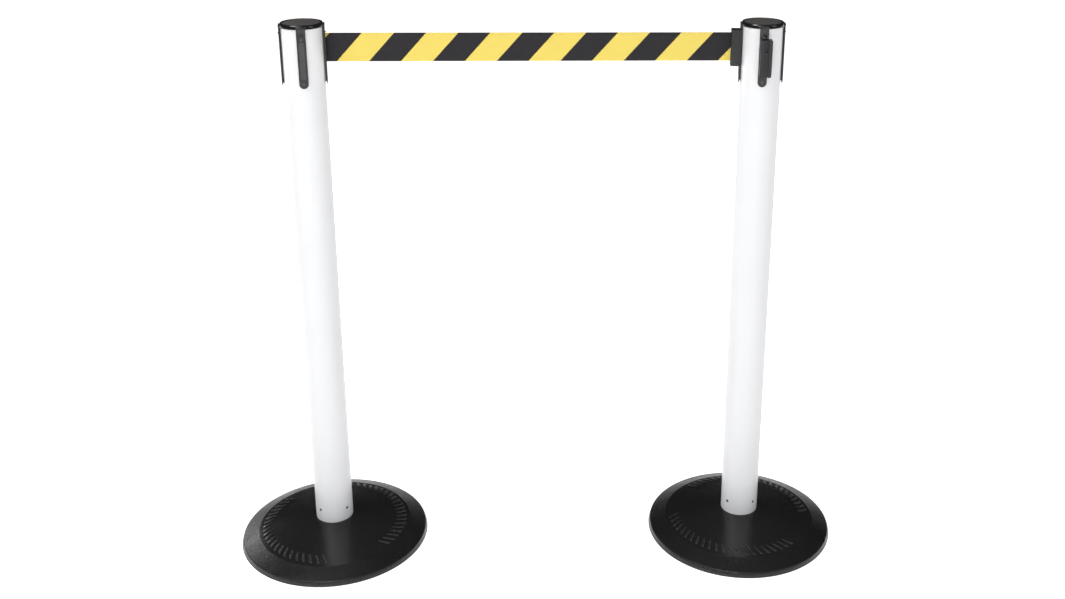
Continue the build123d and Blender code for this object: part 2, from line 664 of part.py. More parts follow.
def spool():
    flange_r = spool_flange_r()
    core_top = EXIT_TOP_Z + SPOOL_FLANGE
    body = rod(SPOOL_CORE_R, EXIT_END_Z - SPOOL_FLANGE, core_top)
    for z in (EXIT_END_Z - SPOOL_FLANGE, EXIT_TOP_Z):
        body += rod(flange_r, z, z + SPOOL_FLANGE)
    body += rod(SPOOL_HUB_R, CASSETTE_FLOOR_TOP + SLIDE_FIT, EXIT_END_Z)
    body += rod(SPOOL_HUB_R, core_top, core_top + SHOE_THICKNESS)
    rib_n = SHOE_INNER_R - RIB_INSET
    rib_top = core_top + RIB_HEIGHT
    for side in (0, 180):
        rib = block(rib_n, rib_n + RIB_LENGTH, -RIB_WIDTH / 2, RIB_WIDTH / 2, EXIT_TOP_Z, rib_top)
        body += around(rib, side)
    hole_n = (SPOOL_CORE_R + flange_r) / 2
    for index in range(SPOOL_HOLES):
        angle = 360.0 / SPOOL_HOLES * (index + 0.5)
        hole = Pos(hole_n, 0, 0) * rod(SPOOL_HOLE_R, EXIT_END_Z - SPOOL_FLANGE - OVERCUT, core_top + OVERCUT)
        body -= around(hole, angle)
    return body - rod(AXLE_R + RUNNING_FIT, CASSETTE_FLOOR_TOP - OVERCUT, CASSETTE_RIM_Z)


def belt_roll(name):
    """The wound belt as one ring: its turns lie face to face."""
    middle = COLLAR_Z - POSTS[name]["belt_drop"]
    low = middle - BELT_WIDTH / 2
    return sleeve(SPOOL_CORE_R + SEAT, roll_radius(stored_length(name)), low, low + BELT_WIDTH)


def brake_shoe(side):
    """One of the two shoes that the turning spool throws against the cassette's wall."""
    top = SHOE_Z + SHOE_THICKNESS
    ring = sleeve(SHOE_INNER_R, SHOE_R, SHOE_Z, top)
    reach = SHOE_R / math.cos(math.radians(SHOE_ARC / 2)) + OVERCUT
    corner = Vector(reach, 0).rotate(Axis.Z, SHOE_ARC / 2)
    outline = Polyline((0, 0), (corner.X, -corner.Y), (corner.X, corner.Y), close=True)
    wedge = extrude(Pos(0, 0, SHOE_Z) * make_face(outline), amount=SHOE_THICKNESS)
    rib_n = SHOE_INNER_R - RIB_INSET
    half = RIB_WIDTH / 2 + FIT
    far_n = rib_n + RIB_LENGTH + FIT
    notch = block(rib_n - OVERCUT, far_n, -half, half, SHOE_Z - OVERCUT, top + OVERCUT)
    return around((ring & wedge) - notch, side)


def power_spring():
    """Clock spring: a flat strip coiled between the spool's hub and the cassette's wall."""
    start_r = SPOOL_HUB_R + SLIDE_FIT + SPRING_STRIP / 2
    end_r = CASSETTE_BORE_R - SLIDE_FIT - SPRING_STRIP / 2
    steps = SPRING_TURNS * SPRING_STEPS
    sides = []
    for shift in (-SPRING_STRIP / 2, SPRING_STRIP / 2):
        line = []
        for step in range(steps + 1):
            angle = 2 * math.pi * SPRING_TURNS * step / steps
            radius = start_r + (end_r - start_r) * step / steps + shift
            line.append((radius * math.cos(angle), radius * math.sin(angle)))
        sides.append(line)
    inner, outer = sides
    outline = [Spline(*inner), Line(inner[-1], outer[-1]), Spline(*outer[::-1]), Line(outer[0], inner[0])]
    return extrude(Pos(0, 0, SPRING_Z) * make_face(outline), amount=SPRING_WIDTH)


# ---- Assembly -------------------------------------------------------------------------------
def base_parts():
    """The round pieces of a base, about the post's own axis."""
    return {
        "floor_ring": floor_ring(),
        "base_weight": base_weight(),
        "base_cover": base_cover(),
        "tie_washer": tie_washer(),
        "tie_bolt": tie_bolt(),
    }


def upper_parts(name):
    """Every piece of one post that turns with its tube, before that turn."""
    side = POSTS[name]["belt_side"]
    parts = {
        "tube_socket": tube_socket(),
        "base_rivets": base_rivets(),
        "tube": tube(side),
        "rail_screws": rail_screws(),
        "head_ring": head_ring(),
        "top_cap": top_cap(),
        "cassette_body": cassette_body(side),
        "cassette_lid": cassette_lid(),
        "spool_axle": spool_axle(),
        "axle_screw": axle_screw(),
        "guide_pins": around(guide_pins(), side),
        "spool": spool(),
        "belt_roll": belt_roll(name),
        "power_spring": power_spring(),
        "brake_shoe_a": brake_shoe(0),
        "brake_shoe_b": brake_shoe(180),
        "belt": around(belt(name), side),
    }
    for rail_name, angle in RAIL_SIDES[name].items():
        parts["rail_" + rail_name] = around(rail(angle == side), angle)
    belt_z = COLLAR_Z - POSTS[name]["belt_drop"]
    for part_name, make in (("belt_end", belt_end), ("belt_pin", belt_pin), ("detent_clip", detent_clip)):
        shape = make(belt_z)
        if name == "left":
            shape = hooked_place(0) * shape
        else:
            shape = around(parked(shape), side)
        parts[part_name] = shape
    return parts


os.makedirs("parts", exist_ok=True)
for post_name, post in POSTS.items():
    pieces = base_parts()
    for part_name, shape in upper_parts(post_name).items():
        pieces[part_name] = around(shape, post["turn"])
    for part_name, shape in pieces.items():
        export_step(Pos(post["x"], 0, 0) * shape, "parts/" + post_name + "_" + part_name + ".step")
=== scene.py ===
import math

import bmesh
import bpy
from mathutils import Matrix, Vector


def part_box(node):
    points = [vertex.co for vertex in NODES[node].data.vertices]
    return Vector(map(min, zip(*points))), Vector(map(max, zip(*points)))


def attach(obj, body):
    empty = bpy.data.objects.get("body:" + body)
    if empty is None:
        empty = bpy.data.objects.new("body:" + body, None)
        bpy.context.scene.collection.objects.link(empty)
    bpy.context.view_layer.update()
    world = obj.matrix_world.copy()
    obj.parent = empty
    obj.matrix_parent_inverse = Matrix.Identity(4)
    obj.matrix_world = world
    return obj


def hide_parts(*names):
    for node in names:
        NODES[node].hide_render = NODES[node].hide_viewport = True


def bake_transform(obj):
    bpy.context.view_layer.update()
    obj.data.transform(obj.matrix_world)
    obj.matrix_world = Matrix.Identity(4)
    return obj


# Two belt posts with the left post's striped belt stretched between them. Geometry below is
# written in millimetres in the CAD frame and turned into metres when a mesh is made.
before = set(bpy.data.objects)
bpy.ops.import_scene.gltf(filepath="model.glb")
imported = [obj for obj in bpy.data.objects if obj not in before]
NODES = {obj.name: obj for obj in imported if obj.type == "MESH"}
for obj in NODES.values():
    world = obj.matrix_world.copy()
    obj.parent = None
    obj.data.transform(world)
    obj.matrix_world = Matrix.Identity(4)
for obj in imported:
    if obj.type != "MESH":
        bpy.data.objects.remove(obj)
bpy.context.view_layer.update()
MM = 0.001

# ---- Places taken from the CAD --------------------------------------------------------------


def cad(node):
    """Lowest and highest corner of a CAD node in millimetres."""
    low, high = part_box(node)
    return low / MM, high / MM


def middle(node):
    low, high = cad(node)
    return (low + high) / 2


TUBE_R = 35.0
FOOT_Z = cad("left_tube")[0].z
COLLAR_Z = cad("left_head_ring")[0].z
RING_TOP_Z = cad("left_head_ring")[1].z
CAP_TOP_Z = cad("left_top_cap")[1].z
CAP_R = 32.0
BASE_R = 177.0
RAIL_LOW_Z, RAIL_TOP_Z = cad("left_rail_outer")[0].z, cad("left_rail_outer")[1].z
POSTS = {
    "left": {"x": -395.0, "turn": 7.5, "body": "root", "exit_face": 0.0, "marks_from": 143.5},
    "right": {"x": 395.0, "turn": -5.0, "body": "right_post", "exit_face": -90.0, "marks_from": 182.0},
}
RAIL_FACES = {
    "left": {"inner": 0.0, "back": 90.0, "outer": 180.0, "front": -90.0},
    "right": {"outer": 0.0, "back": 90.0, "inner": 180.0, "front": -90.0},
}

# ---- Mesh helpers ---------------------------------------------------------------------------
SMOOTH_DEG = 38.0


def mesh_object(name, verts, faces, material, smooth_deg=SMOOTH_DEG):
    mesh = bpy.data.meshes.new(name)
    mesh.from_pydata([Vector(v) * MM for v in verts], [], faces)
    work = bmesh.new()
    work.from_mesh(mesh)
    bmesh.ops.recalc_face_normals(work, faces=work.faces)
    work.to_mesh(mesh)
    work.free()
    mesh.materials.append(material)
    mesh.shade_smooth()
    mesh.set_sharp_from_angle(angle=math.radians(smooth_deg))
    obj = bpy.data.objects.new(name, mesh)
    bpy.context.scene.collection.objects.link(obj)
    return obj


def rounded(corners, steps=5):
    """Closed outline from (x, y, corner radius) triples, with each corner turned into an arc."""
    outline = []
    count = len(corners)
    for index, (x, y, radius) in enumerate(corners):
        here = Vector((x, y))
        if radius == 0:
            outline.append((x, y))
            continue
        before = (Vector(corners[index - 1][:2]) - here).normalized()
        after = (Vector(corners[(index + 1) % count][:2]) - here).normalized()
        half = before.angle(after) / 2
        centre = here + (before + after).normalized() * (radius / math.sin(half))
        first = here + before * (radius / math.tan(half)) - centre
        last = here + after * (radius / math.tan(half)) - centre
        turn = math.atan2(first.x * last.y - first.y * last.x, first.dot(last))
        for step in range(steps + 1):
            spoke = first.copy()
            spoke.rotate(Matrix.Rotation(turn * step / steps, 2))
            outline.append(tuple(centre + spoke))
    return outline


def lathe(outline, segments=160):
    """Closed (radius, height) outline turned about the upright axis: (verts, faces)."""
    verts, faces, rings = [], [], []
    for radius, z in outline:
        if radius < 1e-6:
            rings.append([len(verts)] * segments)
            verts.append((0, 0, z))
            continue
        rings.append(list(range(len(verts), len(verts) + segments)))
        for index in range(segments):
            angle = 2 * math.pi * index / segments
            verts.append((radius * math.cos(angle), radius * math.sin(angle), z))
    for low, high in zip(rings, rings[1:] + rings[:1]):
        for index in range(segments):
            after = (index + 1) % segments
            corners = [low[index], low[after], high[after], high[index]]
            face = [v for place, v in enumerate(corners) if v not in corners[:place]]
            if len(face) > 2:
                faces.append(face)
    return verts, faces


def loft(loops):
    """Skin over loops of equal count, closed at both ends: (verts, faces)."""
    count = len(loops[0])
    verts = [point for loop in loops for point in loop]
    faces = [list(range(count))[::-1], list(range((len(loops) - 1) * count, len(loops) * count))]
    for step in range(len(loops) - 1):
        for index in range(count):
            after = (index + 1) % count
            faces.append([
                step * count + index,
                step * count + after,
                (step + 1) * count + after,
                (step + 1) * count + index,
            ])
    return verts, faces


def joined(*parts):
    verts, faces = [], []
    for part_verts, part_faces in parts:
        offset = len(verts)
        verts += list(part_verts)
        faces += [[offset + v for v in face] for face in part_faces]
    return verts, faces


def placed(part, matrix):
    return [tuple(matrix @ Vector(v)) for v in part[0]], part[1]


def on_face(post, angle):
    """From (n, t, z) on a post's face to the CAD frame: each head is turned a little as a whole."""
    turn = Matrix.Rotation(math.radians(angle + post["turn"]), 4, "Z")
    return Matrix.Translation((post["x"], 0, 0)) @ turn


def radial(n, z):
    """Turns an upright lathe to lie along n, its foot at distance n and height z."""
    return Matrix.Translation((n, 0, z)) @ Matrix.Rotation(math.radians(90), 4, "Y")


def move_mesh(obj, matrix):
    """Moves obj's mesh by a matrix in millimetres."""
    for step in (Matrix.Scale(1 / MM, 4), matrix, Matrix.Scale(MM, 4)):
        obj.data.transform(step)


def box_part(n0, n1, t0, t1, z0, z1):
    ring = [(n0, t0), (n1, t0), (n1, t1), (n0, t1)]
    return loft([[(n, t, z) for n, t in ring] for z in (z0, z1)])


def cut(obj, tool_part, matrix=Matrix.Identity(4)):
    """Takes the tool's shape out of obj's mesh."""
    tool = mesh_object("cutting_tool", *placed(tool_part, matrix), obj.data.materials[0])
    modifier = obj.modifiers.new("cut", "BOOLEAN")
    modifier.operation = "DIFFERENCE"
    modifier.solver = "EXACT"
    modifier.object = tool
    apply_modifiers(obj)
    bpy.data.objects.remove(tool)


def apply_modifiers(obj):
    graph = bpy.context.evaluated_depsgraph_get()
    made = bpy.data.meshes.new_from_object(obj.evaluated_get(graph))
    obj.modifiers.clear()
    old = obj.data
    obj.data = made
    bpy.data.meshes.remove(old)
    made.shade_smooth()
    made.set_sharp_from_angle(angle=math.radians(SMOOTH_DEG))


# ---- Material helpers -----------------------------------------------------------------------


class Nodes:
    """A Principled material and short ways to add nodes to it."""

    def __init__(self, name, **constants):
        self.material = bpy.data.materials.new(name)
        self.material.use_nodes = True
        self.tree = self.material.node_tree
        self.shader = self.tree.nodes["Principled BSDF"]
        for socket, value in constants.items():
            self.shader.inputs[socket.replace("_", " ")].default_value = value
        self.place = self.tree.nodes.new("ShaderNodeTexCoord").outputs["Object"]

    def node(self, kind, inputs=(), **settings):
        made = self.tree.nodes.new("ShaderNode" + kind)
        for key, value in settings.items():
            setattr(made, key, value)
        for socket, value in dict(inputs).items():
            if isinstance(value, bpy.types.NodeSocket):
                self.tree.links.new(value, made.inputs[socket])
            else:
                made.inputs[socket].default_value = value
        return made

    def math(self, operation, *values, clamp=False):
        made = self.node("Math", dict(enumerate(values)), operation=operation, use_clamp=clamp)
        return made.outputs[0]

    def noise(self, scale, detail, stretch=(1, 1, 1)):
        spot = self.node("Mapping", {"Vector": self.place, "Scale": stretch}).outputs[0]
        return self.node("TexNoise", {"Vector": spot, "Scale": scale, "Detail": detail}).outputs["Fac"]

    def spread(self, value, low, high, source=(0.3, 0.7)):
        """The value's source range moved to low..high."""
        ends = {"Value": value, 1: source[0], 2: source[1], 3: low, 4: high}
        return self.node("MapRange", ends).outputs[0]

    def blend(self, amount, low, high):
        made = self.node("Mix", data_type="RGBA")
        for index, value in ((0, amount), (6, low), (7, high)):
            if isinstance(value, bpy.types.NodeSocket):
                self.tree.links.new(value, made.inputs[index])
            else:
                made.inputs[index].default_value = value
        return made.outputs[2]

    def to(self, socket, value):
        self.tree.links.new(value, self.shader.inputs[socket])

    def bump(self, height, depth_mm, strength=1.0):
        inputs = {"Height": height, "Distance": depth_mm * MM, "Strength": strength}
        return self.node("Bump", inputs).outputs[0]


def grey(value, warmth=0.0):
    return (value * (1 + warmth), value, value * (1 - warmth), 1.0)


def scaled(colour, factor):
    return tuple(min(1.0, c * factor) for c in colour[:3]) + (1.0,)


def moulded(name, colour, variation, gloss, grain_per_m, grain_mm, **constants):
    """Paint or plastic: cloudy colour, uneven gloss and a fine surface grain."""
    made = Nodes(name, **constants)
    cloud = made.noise(9.0, 4.0)
    fine = made.noise(grain_per_m, 2.0)
    mixed = made.math("MULTIPLY_ADD", fine, 0.35, made.math("MULTIPLY", cloud, 0.65))
    amount = made.spread(mixed, 0.0, 1.0)
    dark, light = scaled(colour, 1 - variation), scaled(colour, 1 + variation)
    made.to("Base Color", made.blend(amount, dark, light))
    made.to("Roughness", made.spread(made.noise(34.0, 5.0), *gloss))
    made.to("Normal", made.bump(fine, grain_mm))
    return made.material


SCRATCH_MM = 0.01


def metal(name, colour, gloss, brushed_along=(1, 1, 1)):
    """Bare or plated metal with fine drawn lines and stains."""
    made = Nodes(name, Metallic=1.0)
    stain = made.noise(60.0, 5.0)
    lines = made.noise(900.0, 2.0, brushed_along)
    made.to("Base Color", made.blend(made.spread(stain, 0.0, 1.0), scaled(colour, 0.72), colour))
    made.to("Roughness", made.spread(lines, *gloss))
    made.to("Normal", made.bump(lines, SCRATCH_MM))
    return made.material


# ---- Materials ------------------------------------------------------------------------------
MATERIALS = {
    "white_paint": moulded(
        "powder_coat_white", (0.76, 0.764, 0.776, 1), 0.012, (0.30, 0.38), 620.0, 0.012,
        Coat_Weight=0.25, Coat_Roughness=0.12,
    ),
    "cover_black": moulded(
        "base_black", grey(0.005), 0.2, (0.2, 0.25), 950.0, 0.02, Specular_IOR_Level=0.55,
    ),
    "cover_bevel": moulded(
        "base_bevel_black", grey(0.005), 0.5, (0.26, 0.38), 330.0, 0.8, Specular_IOR_Level=0.5,
    ),
    # The raised bars' grey is lighter than the cover's. It is a painted highlight, standing for the
    # bright edges of raised lettering.
    "cover_mark": moulded(
        "base_mark_painted_highlight", grey(0.022), 0.4, (0.18, 0.3), 900.0, 0.05, Specular_IOR_Level=0.6,
    ),
    "gloss_black": moulded(
        "ring_black", grey(0.006), 0.25, (0.14, 0.2), 500.0, 0.006, Specular_IOR_Level=0.85,
    ),
    "matt_black": moulded("cap_black", grey(0.11, 0.05), 0.3, (0.5, 0.62), 1300.0, 0.05),
    # The groove's grey is lighter than the rail's. It is painted light, standing for the brighter middle
    # of the rail's face. Its finish is also a little rougher.
    "rail_groove": moulded("rail_groove_black", grey(0.042), 0.35, (0.34, 0.46), 900.0, 0.06),
    "rail_black": moulded("rail_black", grey(0.017), 0.3, (0.3, 0.42), 1100.0, 0.03),
    "end_black": moulded("belt_end_black", grey(0.010), 0.3, (0.4, 0.52), 1200.0, 0.05),
    "cassette_plastic": moulded("cassette_grey", grey(0.05), 0.3, (0.4, 0.55), 900.0, 0.03),
    "spool_plastic": moulded("spool_white", (0.62, 0.6, 0.55, 1), 0.06, (0.35, 0.5), 700.0, 0.02),
    "floor_rubber": moulded("ring_rubber", grey(0.02), 0.3, (0.7, 0.85), 800.0, 0.12),
    "base_iron": moulded(
        "cast_iron", (0.09, 0.085, 0.08, 1), 0.35, (0.55, 0.75), 420.0, 0.25, Metallic=0.7,
    ),
    "steel": metal("zinc_steel", (0.62, 0.62, 0.6, 1), (0.22, 0.4), (1, 1, 0.15)),
    "rivet_steel": metal("rivet_grey", (0.16, 0.16, 0.17, 1), (0.3, 0.45)),
    "black_steel": metal("screw_black", (0.16, 0.16, 0.165, 1), (0.2, 0.35)),
    "spring_steel": metal("blued_spring", (0.05, 0.05, 0.06, 1), (0.35, 0.5), (1, 1, 0.1)),
    "brake_zinc": metal("brake_zinc", (0.5, 0.49, 0.46, 1), (0.4, 0.6)),
}

STRIPE_MM = 55.0
STRIPE_START_MM = 55.0
STRIPE_LEAN_MM = 45.3
RIBS = 21.0
PICK_MM = 1.5
YELLOW = (0.79, 0.62, 0.127, 1.0)
BLACK = (0.016, 0.0145, 0.017, 1.0)


def webbing(name, belt_low_z, belt_width, rest=None, from_x=0.0, along="X"):
    """Woven belt with slanting stripes. rest is the empty or attribute that holds its pattern."""
    made = Nodes(name, Sheen_Weight=0.1, Sheen_Roughness=0.5, Specular_IOR_Level=0.25)
    if isinstance(rest, str):
        made.place = made.node("Attribute", attribute_name=rest).outputs["Vector"]
    else:
        for coord in made.tree.nodes:
            if coord.bl_idname == "ShaderNodeTexCoord":
                coord.object = rest
    parts = made.node("SeparateXYZ", {0: made.place}).outputs
    run = made.math("MULTIPLY", parts[along], 1 / MM)
    if along == "Y":
        run = made.math("MULTIPLY", run, -1.0)
    run = made.math("SUBTRACT", run, from_x)
    height = made.math("MULTIPLY", parts["Z"], 1 / MM)
    rise = made.math("DIVIDE", made.math("SUBTRACT", height, belt_low_z), belt_width)
    lean = made.math("MULTIPLY", rise, STRIPE_LEAN_MM)
    wobble = made.math("MULTIPLY", made.math("SUBTRACT", made.noise(700.0, 1.0), 0.5), 1.2)
    shifted = made.math("SUBTRACT", made.math("SUBTRACT", run, STRIPE_START_MM), lean)
    shifted = made.math("ADD", shifted, wobble)
    turn = made.math("FRACT", made.math("DIVIDE", shifted, 2 * STRIPE_MM))
    # Distance from the middle of the nearest black stripe, in pairs of stripes.
    from_quarter = made.math("ABSOLUTE", made.math("SUBTRACT", turn, 0.25))
    near = made.math("ABSOLUTE", made.math("SUBTRACT", from_quarter, 0.5))
    inside = made.math("SUBTRACT", near, 0.25)
    black = made.math("MULTIPLY_ADD", inside, -160.0, 0.5, clamp=True)
    # Ribs run along the belt, with a short yarn pattern across them.
    rib = made.math("SINE", made.math("MULTIPLY", rise, 2 * math.pi * RIBS))
    pick_turn = made.math("MULTIPLY_ADD", run, 2 * math.pi / PICK_MM, made.math("MULTIPLY", rib, 1.3))
    pick = made.math("SINE", pick_turn)
    weave = made.math("ADD", made.math("MULTIPLY", rib, 0.6), made.math("MULTIPLY", pick, 0.4))
    shade = made.spread(weave, 0.0, 1.0, (-1.0, 1.0))
    fade = made.noise(55.0, 3.0, (1, 1, 3))
    # The belt's colour is darker in the weave's hollows and lighter on its tops. This is a painted
    # shade, mixed with random fading patches.
    weave_shade_and_fade = made.math("MULTIPLY_ADD", shade, 0.7, made.math("MULTIPLY", fade, 0.3))
    yellow = made.blend(weave_shade_and_fade, scaled(YELLOW, 0.9), scaled(YELLOW, 1.04))
    dark = made.blend(weave_shade_and_fade, scaled(BLACK, 0.62), scaled(BLACK, 1.5))
    made.to("Base Color", made.blend(black, yellow, dark))
    made.to("Roughness", made.spread(shade, 0.62, 0.8, (0.0, 1.0)))
    made.to("Normal", made.bump(weave, 0.09, 0.8))
    return made.material


# ---- Base -----------------------------------------------------------------------------------
LAND_R = TUBE_R + 3.0
SHOULDER = (144.0, 24.0)
BEVEL_END = (174.5, 12.5)
EDGE_Z = 6.0
RIM_Z = 2.0
COVER_WALL = 3.0
BORE_R = 29.0
CROWN_SAG = 0.6


def crown_z(radius):
    """Height of the cover's crown: a shallow dome from the land down to the shoulder."""
    share = (radius - LAND_R) / (SHOULDER[0] - LAND_R)
    return FOOT_Z + (SHOULDER[1] - FOOT_Z) * share + 4 * CROWN_SAG * share * (1 - share)


def base_outline():
    outer = [(BORE_R, FOOT_Z, 0), (LAND_R - 0.5, FOOT_Z, 0), (LAND_R + 1.0, crown_z(LAND_R + 1.0), 0)]
    for radius in range(42, 138, 6):
        outer.append((radius, crown_z(radius), 0))
    outer += [
        (SHOULDER[0], SHOULDER[1], 4.0),
        (BEVEL_END[0], BEVEL_END[1], 3.5),
        (BASE_R - 0.7, EDGE_Z + 0.4, 1.4),
        (BASE_R - 0.7, 4.6, 0.4),
        (BASE_R, 4.1, 0.45),
        (BASE_R, RIM_Z, 0.9),
        (BASE_R - COVER_WALL, RIM_Z, 0.8),
        (BASE_R - COVER_WALL, EDGE_Z - 1.2, 1.0),
        (BEVEL_END[0] - COVER_WALL, BEVEL_END[1] - COVER_WALL, 2.0),
        (SHOULDER[0] - 1.2, SHOULDER[1] - COVER_WALL, 2.0),
    ]
    for radius in range(132, 38, -12):
        outer.append((radius, crown_z(radius) - COVER_WALL, 0))
    outer += [(LAND_R, FOOT_Z - COVER_WALL, 0), (BORE_R, FOOT_Z - COVER_WALL, 0)]
    return rounded(outer, 6)


MARK_COUNT = 22
MARK_STEP_DEG = 6.0
MARK_R = (118.5, 137.0)
MARK_WIDTH = 5.2
MARK_LEAN = 4.5
MARK_HEIGHT = 1.3


def base_mark(angle_deg):
    """One raised bar of the tread, leaning, following the crown."""
    middle_r = sum(MARK_R) / 2
    half = (MARK_R[1] - MARK_R[0]) / 2
    loops = []
    for inset, height in ((-0.25, -0.6), (0.0, 0.1), (0.1, 0.8), (0.35, 1.15), (0.75, MARK_HEIGHT)):
        side = MARK_WIDTH / 2 - inset
        corners = [
            (-half + inset, -side, 1.0), (half - inset, -side, 1.0),
            (half - inset, side, 1.0), (-half + inset, side, 1.0),
        ]
        loop = []
        for out, across in rounded(corners, 4):
            radius = middle_r + out
            turn = math.radians(angle_deg) + (across + MARK_LEAN * out / half) / middle_r
            loop.append((radius * math.cos(turn), radius * math.sin(turn), crown_z(radius) + height))
        loops.append(loop)
    return loft(loops)


def build_base(name, post):
    spot = Matrix.Translation((post["x"], 0, 0))
    turned = placed(lathe(base_outline(), 256), spot)
    cover = mesh_object(name + "_cover", *turned, MATERIALS["cover_black"], 30.0)
    cover.data.materials.append(MATERIALS["cover_bevel"])
    centre = Vector((post["x"], 0, 0)) * MM
    for face in cover.data.polygons:
        if (face.center - centre).xy.length > SHOULDER[0] * MM:
            face.material_index = 1
    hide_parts(name + "_base_cover")
    marks = []
    for start in (post["marks_from"], post["marks_from"] + 180.0):
        for index in range(MARK_COUNT):
            marks.append(base_mark(start + index * MARK_STEP_DEG))
    bars = placed(joined(*marks), spot)
    # The bars take the lighter grey of the painted highlight.
    tread = mesh_object(name + "_tread_marks", *bars, MATERIALS["cover_mark"], 50.0)
    return [cover, tread], "cover_black"


# ---- Head -----------------------------------------------------------------------------------
COLLAR_WALL = 2.6
# The ledge that the cap sits on: its two faces, from the collar's foot up.
LEDGE = (3.05, 4.1)
LUG_HALF = 8.25
LUG_N = 39.0


def build_ring(name, post):
    outer = TUBE_R + COLLAR_WALL
    seat = CAP_R + 0.15
    inner = CAP_R - 1.25
    outline = rounded([
        (TUBE_R + 0.1, COLLAR_Z, 0.2), (outer, COLLAR_Z, 0.5), (outer - 1.0, COLLAR_Z + 5.0, 6.0),
        (outer - 2.2, RING_TOP_Z, 0.6), (seat + 0.35, RING_TOP_Z, 0.25), (seat, RING_TOP_Z - 0.5, 0.15),
        (seat, COLLAR_Z + LEDGE[1], 0), (inner, COLLAR_Z + LEDGE[1], 0), (inner, COLLAR_Z + LEDGE[0], 0),
        (TUBE_R + 0.1, COLLAR_Z + LEDGE[0], 0),
    ], 5)
    parts = [lathe(outline, 192)]
    for side in range(4):
        loops = []
        for inset, z in ((0.35, 0.0), (0.0, 0.35), (0.0, 3.6), (0.2, 4.3), (0.65, 4.8), (1.2, 5.0)):
            half = LUG_HALF - inset
            far = LUG_N - inset
            near = TUBE_R + 1
            corners = [(near, -half, 0.2), (far, -half, 1.4), (far, half, 1.4), (near, half, 0.2)]
            loops.append([(n, t, COLLAR_Z + z) for n, t in rounded(corners, 4)])
        parts.append(placed(loft(loops), Matrix.Rotation(math.radians(90.0 * side), 4, "Z")))
    whole = placed(joined(*parts), on_face(post, 0.0))
    ring = mesh_object(name + "_collar", *whole, MATERIALS["gloss_black"])
    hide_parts(name + "_head_ring")
    return [ring], "gloss_black"


def build_cap(name, post):
    ledge = COLLAR_Z + LEDGE[1] + 0.05
    disc_z, groove_z = CAP_TOP_Z - 0.15, CAP_TOP_Z - 0.6
    outline = rounded([
        (0, disc_z, 0), (CAP_R - 3.2, disc_z, 0.2), (CAP_R - 2.9, groove_z, 0.1),
        (CAP_R - 2.2, groove_z, 0.1), (CAP_R - 1.9, CAP_TOP_Z, 0.25), (CAP_R, CAP_TOP_Z, 0.5),
        (CAP_R, ledge, 0), (CAP_R - 1.4, ledge, 0), (CAP_R - 1.4, ledge - 4.0, 0.3),
        (CAP_R - 4.9, ledge - 4.0, 0.3), (CAP_R - 4.9, ledge, 0), (0, ledge, 0),
    ], 4)
    spot = Matrix.Translation((post["x"], 0, 0))
    cap = mesh_object(name + "_cap", *placed(lathe(outline, 192), spot), MATERIALS["matt_black"])
    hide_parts(name + "_top_cap")
    return [cap], "matt_black"


# ---- Rails ----------------------------------------------------------------------------------
RAIL_FACE = 38.6
RAIL_BACK = 37.0
RAIL_HALF = 7.75
NECK_HALF = 4.0
GROOVE_HALF = 4.5
GROOVE_Z = (919.0, 974.0)
GROOVE_DEPTH = 0.5
# Steps of the groove's rounded wall: (inset from its edge, depth).
GROOVE_WALL = ((-0.3, 0.0), (-0.12, 0.03), (0.0, 0.15), (0.1, 0.38), (0.25, 0.48), (0.5, GROOVE_DEPTH))
NUB_Z = 989.5
NUB_PROUD = 2.0
NUB_HALF = 2.5
SCREW_ZS = (984.0, 908.0)
EXIT_T = (2.1, 4.5)
EXIT_Z = (926.4, 988.4)
ARC_STEPS = 14


def capsule(half, low, high, square_top=True):
    """Upright outline (t, z) rounded at the bottom, with as many points whatever its size."""
    loop = []
    for step in range(ARC_STEPS + 1):
        angle = math.pi * (1 + step / ARC_STEPS)
        loop.append((half * math.cos(angle), low + half + half * math.sin(angle)))
    for step in range(ARC_STEPS + 1):
        angle = math.pi * step / ARC_STEPS
        rise = 0.0 if square_top else half * (math.sin(angle) - 1)
        loop.append((half * math.cos(angle), high + rise))
    return loop


def rail_part(grooved):
    def at(n, loop):
        return [(n, t, z) for t, z in loop]

    def head(inset):
        return capsule(RAIL_HALF - inset, RAIL_LOW_Z + inset, RAIL_TOP_Z - inset * 0.3)

    neck = capsule(NECK_HALF, RAIL_LOW_Z + RAIL_HALF - NECK_HALF, RAIL_TOP_Z)
    loops = [
        [(math.sqrt((TUBE_R + 0.05) ** 2 - t * t), t, z) for t, z in neck],
        at(RAIL_BACK, neck),
        at(RAIL_BACK, head(0.15)),
        at(RAIL_BACK + 0.15, head(0.0)),
    ]
    edge = 0.7
    for step in range(6):
        angle = math.pi / 2 * step / 5
        loops.append(at(RAIL_FACE - edge + edge * math.sin(angle), head(edge * (1 - math.cos(angle)))))
    if grooved:
        low, high = GROOVE_Z[0] - GROOVE_HALF, GROOVE_Z[1] + GROOVE_HALF
        for inset, depth in GROOVE_WALL:
            outline = capsule(GROOVE_HALF - inset, low + inset, high - inset, False)
            loops.append(at(RAIL_FACE - depth, outline))
    return loft(loops)


def nub_part():
    root = RAIL_FACE - 0.6
    outline = rounded([
        (root, NUB_Z - NUB_HALF, 0), (RAIL_FACE + NUB_PROUD, NUB_Z, 0.45), (root, NUB_Z + NUB_HALF, 0),
    ], 5)
    loops = []
    for t, share in ((-2.0, 0.86), (-1.85, 0.96), (-1.6, 1.0), (1.6, 1.0), (1.85, 0.96), (2.0, 0.86)):
        loops.append([(root + (n - root) * share, t, NUB_Z + (z - NUB_Z) * share) for n, z in outline])
    return loft(loops)


